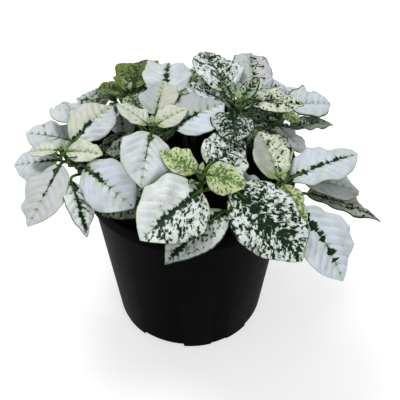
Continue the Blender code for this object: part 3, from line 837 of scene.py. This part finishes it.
def drain_block(heading, arc, high):
    """A block across an arc of the foot ring, up to a height."""
    shape = bmesh.new()
    low = -1.0
    size = (DRAIN_OUTSIDE - DRAIN_INSIDE, 2 * DRAIN_OUTSIDE * sin(radians(arc / 2)), high - low)
    bmesh.ops.create_cube(shape, size=1.0)
    bmesh.ops.scale(shape, vec=size, verts=shape.verts)
    turn = Matrix.Rotation(radians(heading), 3, "Z")
    bmesh.ops.rotate(shape, cent=(0, 0, 0), matrix=turn, verts=shape.verts)
    return cutter(shape, heading, (DRAIN_INSIDE + DRAIN_OUTSIDE) / 2, (low + high) / 2)


def drain_hole(heading):
    """A drill for one round hole in the floor, outside its sunk middle."""
    shape = bmesh.new()
    size = {"radius1": DRAIN_HOLE_RADIUS, "radius2": DRAIN_HOLE_RADIUS, "depth": FLOOR + 2}
    bmesh.ops.create_cone(shape, cap_ends=True, segments=DRAIN_HOLE_SIDES, **size)
    return cutter(shape, heading, (SUNK_RADIUS + BASE_RADIUS) / 2, FOOT_HEIGHT + FLOOR / 2)


def build_pot(name, material):
    """The pot, turned in fine steps, with its drains cut through the foot ring and the floor."""
    angles = np.arange(POT_STEPS) * tau / POT_STEPS
    rings = [[(r * cos(angle), r * sin(angle), height) for angle in angles] for r, height in pot_profile()]
    shape = Shape()
    shape.add_rings(np.array(rings), [0] * POT_STEPS)
    pot = shape.finished(name, [material])
    cutters = []
    for quarter in range(DRAINS):
        wide = WIDE_HEADING + 360 / DRAINS * quarter
        narrow = NARROW_HEADING + 360 / DRAINS * quarter
        cutters.append(drain_block(wide, WIDE_ARC, FOOT_HEIGHT))
        cutters.append(drain_block(narrow, NARROW_ARC, NARROW_DRAIN_HEIGHT))
        cutters.append(drain_hole(wide))
    for helper in cutters:
        cut = pot.modifiers.new("drain", "BOOLEAN")
        cut.operation = "DIFFERENCE"
        cut.object = helper
    graph = bpy.context.evaluated_depsgraph_get()
    mesh = bpy.data.meshes.new_from_object(pot.evaluated_get(graph))
    pot.modifiers.clear()
    pot.data = mesh
    for helper in cutters:
        bpy.data.objects.remove(helper)
    mesh.shade_smooth()
    mesh.set_sharp_from_angle(angle=radians(SHARP_ANGLE))
    return pot


# -------- materials


class Paint:
    """Short calls that add shader nodes to one new material."""

    def __init__(self, name):
        self.material = bpy.data.materials.new(name)
        self.material.use_nodes = True
        self.tree = self.material.node_tree
        self.shader = self.tree.nodes["Principled BSDF"]

    def plug(self, socket, value):
        if isinstance(value, bpy.types.NodeSocket):
            self.tree.links.new(value, socket)
        else:
            socket.default_value = value

    def set(self, **values):
        """Sets or links the shader's inputs, named with _ for a space."""
        for name, value in values.items():
            self.plug(self.shader.inputs[name.replace("_", " ")], value)

    def node(self, kind, inputs, **settings):
        made = self.tree.nodes.new("ShaderNode" + kind)
        for name, value in settings.items():
            setattr(made, name, value)
        for key, value in inputs.items():
            self.plug(made.inputs[key], value)
        return made

    def math(self, operation, first, second=0.0, third=0.0):
        return self.node("Math", {0: first, 1: second, 2: third}, operation=operation).outputs[0]

    add = partialmethod(math, "ADD")
    less = partialmethod(math, "SUBTRACT")
    times = partialmethod(math, "MULTIPLY")
    top_of = partialmethod(math, "MAXIMUM")
    low_of = partialmethod(math, "MINIMUM")

    def step(self, value, low, high, start=0.0, end=1.0):
        """A smooth step of a value from start, below low, to end, above high."""
        inputs = {0: value, 1: low, 2: high, 3: start, 4: end}
        return self.node("MapRange", inputs, interpolation_type="SMOOTHSTEP").outputs[0]

    def parts(self, fact):
        """The three numbers of a point attribute."""
        read = self.node("Attribute", {}, attribute_type="GEOMETRY", attribute_name=fact)
        split = self.node("SeparateXYZ", {0: read.outputs["Vector"]})
        return split.outputs[0], split.outputs[1], split.outputs[2]

    def tint(self, fact):
        """A colour kept in a point attribute."""
        return self.node("Attribute", {}, attribute_type="GEOMETRY", attribute_name=fact).outputs["Color"]

    def vector(self, x, y, z):
        return self.node("CombineXYZ", {0: x, 1: y, 2: z}).outputs[0]

    def place(self):
        """A point's place in the object, in metres."""
        return self.node("TexCoord", {}).outputs["Object"]

    def noise(self, place, scale, detail=2.0, roughness=0.5):
        inputs = {"Vector": place, "Scale": scale, "Detail": detail, "Roughness": roughness}
        return self.node("TexNoise", inputs).outputs[0]

    def cells(self, place, scale, feature="DISTANCE_TO_EDGE"):
        return self.node("TexVoronoi", {"Vector": place, "Scale": scale}, feature=feature).outputs["Distance"]

    def mix(self, factor, first, second):
        """A mix of two colours, given as they look or as sockets."""
        made = self.tree.nodes.new("ShaderNodeMix")
        made.data_type = "RGBA"
        for socket, value in ((made.inputs[0], factor), (made.inputs[6], first), (made.inputs[7], second)):
            self.plug(socket, (*linear(value), 1.0) if isinstance(value, tuple) else value)
        return made.outputs[2]

    def bump(self, height, strength, distance):
        inputs = {"Height": height, "Strength": strength, "Distance": distance * MM}
        self.set(Normal=self.node("Bump", inputs).outputs[0])


def leaf_marks(paint):
    """(dark field, distance from a side vein, slow noise) of a blade. The field is above 0 in a dark mark."""
    x, y, seed = paint.parts("place")
    station, across, _ = paint.parts("shape")
    start, spacing, phase = paint.parts("vein")
    left, right, rib = paint.parts("marks")
    branch, _, _ = paint.parts("more")
    far, _, _ = paint.parts("far")
    edge = paint.math("ABSOLUTE", across)
    here = paint.vector(x, y, seed)
    slow = paint.noise(here, 0.16, 2.0)
    sway = paint.less(paint.noise(here, 0.42, 1.0), 0.5)
    other = paint.less(paint.noise(paint.vector(y, x, seed), 0.50, 1.0), 0.5)
    side = paint.add(y, paint.times(sway, 3.0))
    # speckles, denser in some places than in others
    level = paint.step(y, -0.4, 0.4, left, right)
    level = paint.less(level, paint.times(paint.less(slow, 0.5), 0.30))
    level = paint.add(level, paint.times(paint.less(edge, 0.45), 0.11))
    lean = paint.add(paint.times(x, 0.55), paint.times(start, 0.45))
    size = paint.math("DIVIDE", 2.8, spacing)
    streak = paint.add(lean, paint.times(other, 2.0))
    fine = paint.vector(paint.times(streak, size), paint.times(side, size), seed)
    speckle = paint.noise(fine, 1.0, 2.2, 0.62)
    spots = paint.times(paint.less(speckle, level), 9.0)
    # the midrib's mark, with a barb along some of the side veins
    away = paint.math("ABSOLUTE", paint.add(y, paint.times(sway, 1.1)))
    order = paint.math("ROUND", phase)
    line = paint.math("ABSOLUTE", paint.less(phase, order))
    near = paint.times(line, spacing)
    flank = paint.times(paint.math("SIGN", y), 3.3)
    chance = paint.noise(paint.vector(paint.times(order, 7.7), flank, seed), 1.0, 0.0)
    rough = paint.noise(paint.vector(x, paint.times(y, 0.30), paint.add(seed, 9.0)), 0.55, 2.0, 0.55)
    broken = paint.noise(paint.vector(x, seed, 4.0), 0.22, 1.0)
    reach = paint.times(rib, paint.add(paint.times(rough, 5.0), -1.60))
    reach = paint.times(reach, paint.step(broken, 0.26, 0.42, 0.45, 1.0))
    barb = paint.times(paint.step(chance, 0.50, 0.75, 0.0, 0.8), paint.step(near, 0.10, 1.30, 1.0, 0.0))
    reach = paint.add(reach, paint.times(rib, barb))
    reach = paint.add(reach, paint.times(rib, paint.step(station, 0.0, 0.30, 0.6, 0.0)))
    stop = paint.noise(paint.vector(seed, 2.0, 5.0), 3.0, 0.0)
    stop = paint.less(paint.less(station, far), paint.times(paint.less(stop, 0.5), 0.5))
    reach = paint.less(reach, paint.times(paint.step(stop, -0.17, 0.18), 3.0))
    midrib_mark = paint.less(reach, paint.add(away, 0.15))
    length = paint.times(branch, paint.add(paint.times(rough, 2.4), -0.75))
    along_vein = paint.times(paint.less(length, edge), 2.6)
    width = paint.less(paint.times(rough, paint.add(paint.times(branch, 0.35), 0.9)), paint.add(near, 0.10))
    dark = paint.top_of(spots, paint.top_of(midrib_mark, paint.low_of(along_vein, width)))
    return dark, near, slow


def paint_blade(name, underside):
    """A leaf's top, or its paler, duller underside with the same marks showing through."""
    paint = Paint(name)
    x, y, seed = paint.parts("place")
    station, _, margin = paint.parts("shape")
    _, base, rim = paint.parts("more")
    dark, near, slow = leaf_marks(paint)
    here = paint.vector(x, y, seed)
    fray = paint.noise(here, 0.8, 2.0)
    # the face, with painted shade in the creases along the side veins, a margin tint and yellow-green at the
    # stalk
    inset = paint.less(margin, paint.times(fray, 1.6))
    face = paint.mix(paint.step(y, -0.3, 0.3), paint.tint("face_tint"), paint.tint("other_tint"))
    face = paint.mix(paint.step(inset, -0.9, 1.0, 0.60, 0.0), face, paint.tint("edge_tint"))
    # painted shade: the face turns greyer towards each side vein, where the quilting dips
    face = paint.mix(paint.step(near, 0.05, 0.70, 0.13, 0.0), face, COLOURS["painted_crease_shade"])
    face = paint.mix(paint.step(slow, 0.42, 0.66, 0.0, 0.45), face, COLOURS["patch"])
    ribline = paint.step(paint.math("ABSOLUTE", y), 0.15, 0.60, 0.45, 0.0)
    face = paint.mix(ribline, face, COLOURS["ribline"])
    young = paint.times(base, paint.step(station, 0.02, 0.22, 0.80, 0.0))
    face = paint.mix(young, face, COLOURS["stalk_end"])
    # the dark marks, with a thin mid-green fringe
    edge_line = paint.less(paint.times(rim, paint.times(fray, 1.15)), margin)
    dark = paint.top_of(dark, paint.times(edge_line, 2.0))
    colour = paint.mix(paint.step(dark, -0.60, 0.10, 0.0, 0.65), face, COLOURS["fringe"])
    colour = paint.mix(paint.step(dark, -0.02, 0.30), colour, paint.tint("mark_tint"))
    veinlets = paint.cells(here, 0.85)
    grain = paint.noise(here, 2.6, 2.0)
    if underside:
        colour = paint.mix(0.60, colour, COLOURS["underside"])
        paint.set(Roughness=paint.step(grain, 0.2, 0.8, 0.55, 0.75))
    else:
        paint.set(Roughness=paint.step(grain, 0.2, 0.8, 0.36, 0.58))
    paint.set(Base_Color=colour, Specular_IOR_Level=0.15)
    relief = paint.add(paint.times(paint.step(veinlets, 0.0, 0.16), 0.5), paint.times(grain, 0.5))
    paint.bump(relief, 0.35, 0.22)
    return paint.material


def paint_stalk(name, pale, deep):
    """Green stalk or stem skin, mottled and slightly fuzzy."""
    paint = Paint(name)
    place = paint.place()
    slow = paint.noise(place, 140.0, 3.0)
    fine = paint.noise(place, 1500.0, 3.0)
    colour = paint.mix(paint.step(slow, 0.35, 0.65), pale, deep)
    colour = paint.mix(paint.step(fine, 0.55, 0.75, 0.0, 0.20), colour, COLOURS["fuzz"])
    paint.set(Base_Color=colour, Roughness=paint.step(fine, 0.2, 0.8, 0.45, 0.7), Specular_IOR_Level=0.2)
    paint.bump(fine, 0.4, 0.15)
    return paint.material


def paint_soil(name):
    """Moist peat: near black, with brown patches and a few paler grains."""
    paint = Paint(name)
    place = paint.place()
    clods = paint.noise(place, 350.0, 5.0, 0.65)
    grain = paint.noise(place, 1800.0, 3.0)
    flecks = paint.cells(place, 900.0, "F1")
    colour = paint.mix(paint.step(clods, 0.35, 0.68), (0.035, 0.028, 0.022), (0.09, 0.068, 0.05))
    colour = paint.mix(paint.step(flecks, 0.05, 0.18, 0.35, 0.0), colour, (0.18, 0.14, 0.10))
    paint.set(Base_Color=colour, Roughness=paint.step(grain, 0.3, 0.7, 0.8, 0.98), Specular_IOR_Level=0.08)
    paint.bump(paint.add(clods, paint.times(grain, 0.4)), 0.8, 0.6)
    return paint.material


def paint_pot(name):
    """Black moulded plastic with a fine satin grain and faint scuffs."""
    paint = Paint(name)
    place = paint.place()
    grain = paint.noise(place, 2600.0, 3.0)
    scuffs = paint.noise(paint.node("Mapping", {0: place, 3: (60.0, 60.0, 900.0)}).outputs[0], 1.0, 4.0, 0.7)
    slow = paint.noise(place, 45.0, 3.0)
    colour = paint.mix(paint.step(slow, 0.35, 0.70), (0.010, 0.010, 0.011), (0.018, 0.018, 0.018))
    colour = paint.mix(paint.step(scuffs, 0.66, 0.80, 0.0, 0.30), colour, (0.05, 0.05, 0.05))
    roughness = paint.step(scuffs, 0.3, 0.75, 0.42, 0.52)
    paint.set(Base_Color=colour, Roughness=roughness, Specular_IOR_Level=0.008)
    paint.bump(paint.add(grain, paint.times(scuffs, 0.3)), 0.12, 0.04)
    return paint.material


def paint_floor(name):
    paint = Paint(name)
    soft = paint.noise(paint.place(), 3.0, 2.0)
    colour = paint.mix(paint.step(soft, 0.2, 0.8), (0.76, 0.76, 0.76), (0.78, 0.78, 0.78))
    paint.set(Base_Color=colour, Roughness=0.85, Specular_IOR_Level=0.1)
    paint.set(Emission_Color=(1.0, 1.0, 1.0, 1.0), Emission_Strength=0.55)
    return paint.material


# -------- stage


def aim(obj, target):
    obj.rotation_euler = (target - obj.location).to_track_quat("-Z", "Y").to_euler()


def add_camera():
    data = bpy.data.cameras.new("camera")
    data.lens = CAMERA_LENS
    data.sensor_width = CAMERA_SENSOR
    camera = add_object("camera", data)
    target = Vector(CAMERA_TARGET) * MM
    back = Vector((0, -cos(radians(CAMERA_ELEVATION)), sin(radians(CAMERA_ELEVATION))))
    camera.location = target + back * CAMERA_DISTANCE * MM
    aim(camera, target)
    bpy.context.scene.camera = camera


def add_light(name, lamp):
    """A round lamp that points at the plant."""
    data = bpy.data.lights.new(name, "AREA")
    data.shape = "DISK"
    data.size = lamp.size
    data.energy = lamp.watts
    light = add_object(name, data)
    light.location = lamp.place
    aim(light, Vector(LAMP_TARGET))


def add_stage():
    """White floor, white surroundings and two soft lamps."""
    scene = bpy.context.scene
    scene.view_settings.view_transform = "Standard"
    scene.view_settings.look = "None"
    world = bpy.data.worlds.new("studio")
    world.use_nodes = True
    background = world.node_tree.nodes["Background"]
    background.inputs["Color"].default_value = SKY_COLOUR
    background.inputs["Strength"].default_value = SKY_STRENGTH
    scene.world = world
    for name, lamp in LAMPS.items():
        add_light(name, lamp)
    shape = bmesh.new()
    bmesh.ops.create_grid(shape, x_segments=1, y_segments=1, size=STAGE_HALF)
    floor = object_from(shape, "floor")
    floor.data.materials.append(paint_floor("floor"))


# -------- the plant


def place_piece(piece, node):
    """Fixes a piece to the only body, in place of its CAD node."""
    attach(piece, "root")
    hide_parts(node)


def build_plant():
    leaf_materials = [
        paint_blade("leaf_top", False),
        paint_blade("leaf_underside", True),
        paint_stalk("leaf_stalk", (0.32, 0.42, 0.17), (0.14, 0.24, 0.09)),
    ]
    stem_material = paint_stalk("stem", (0.18, 0.25, 0.10), (0.09, 0.14, 0.06))
    place_piece(build_pot("pot_shell", paint_pot("pot")), "pot")
    place_piece(build_soil("soil_top", paint_soil("soil")), "potting_soil")
    for order, (letter, shoot) in enumerate(SHOOTS.items()):
        place_piece(build_stem(f"stalk_{letter}", shoot, stem_material), f"stem_{letter}")
        for number, pair in enumerate(shoot.pairs, start=1):
            seed = FIRST_SEED + order * SHOOT_SEEDS + number * PAIR_SEEDS
            piece = build_pair(f"leaves_{letter}{number}", shoot, pair, seed, leaf_materials, number == 1)
            place_piece(piece, f"leaf_pair_{letter}{number}")


def write_sizes():
    """Brings the view layer up to date."""
    bpy.context.view_layer.update()


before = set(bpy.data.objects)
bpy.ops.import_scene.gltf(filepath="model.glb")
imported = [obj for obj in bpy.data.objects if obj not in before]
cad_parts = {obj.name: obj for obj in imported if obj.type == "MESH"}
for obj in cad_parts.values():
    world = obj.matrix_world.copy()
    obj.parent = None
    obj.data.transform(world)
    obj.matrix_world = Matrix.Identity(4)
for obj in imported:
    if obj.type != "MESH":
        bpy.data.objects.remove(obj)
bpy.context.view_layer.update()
add_camera()
add_stage()
build_plant()
write_sizes()
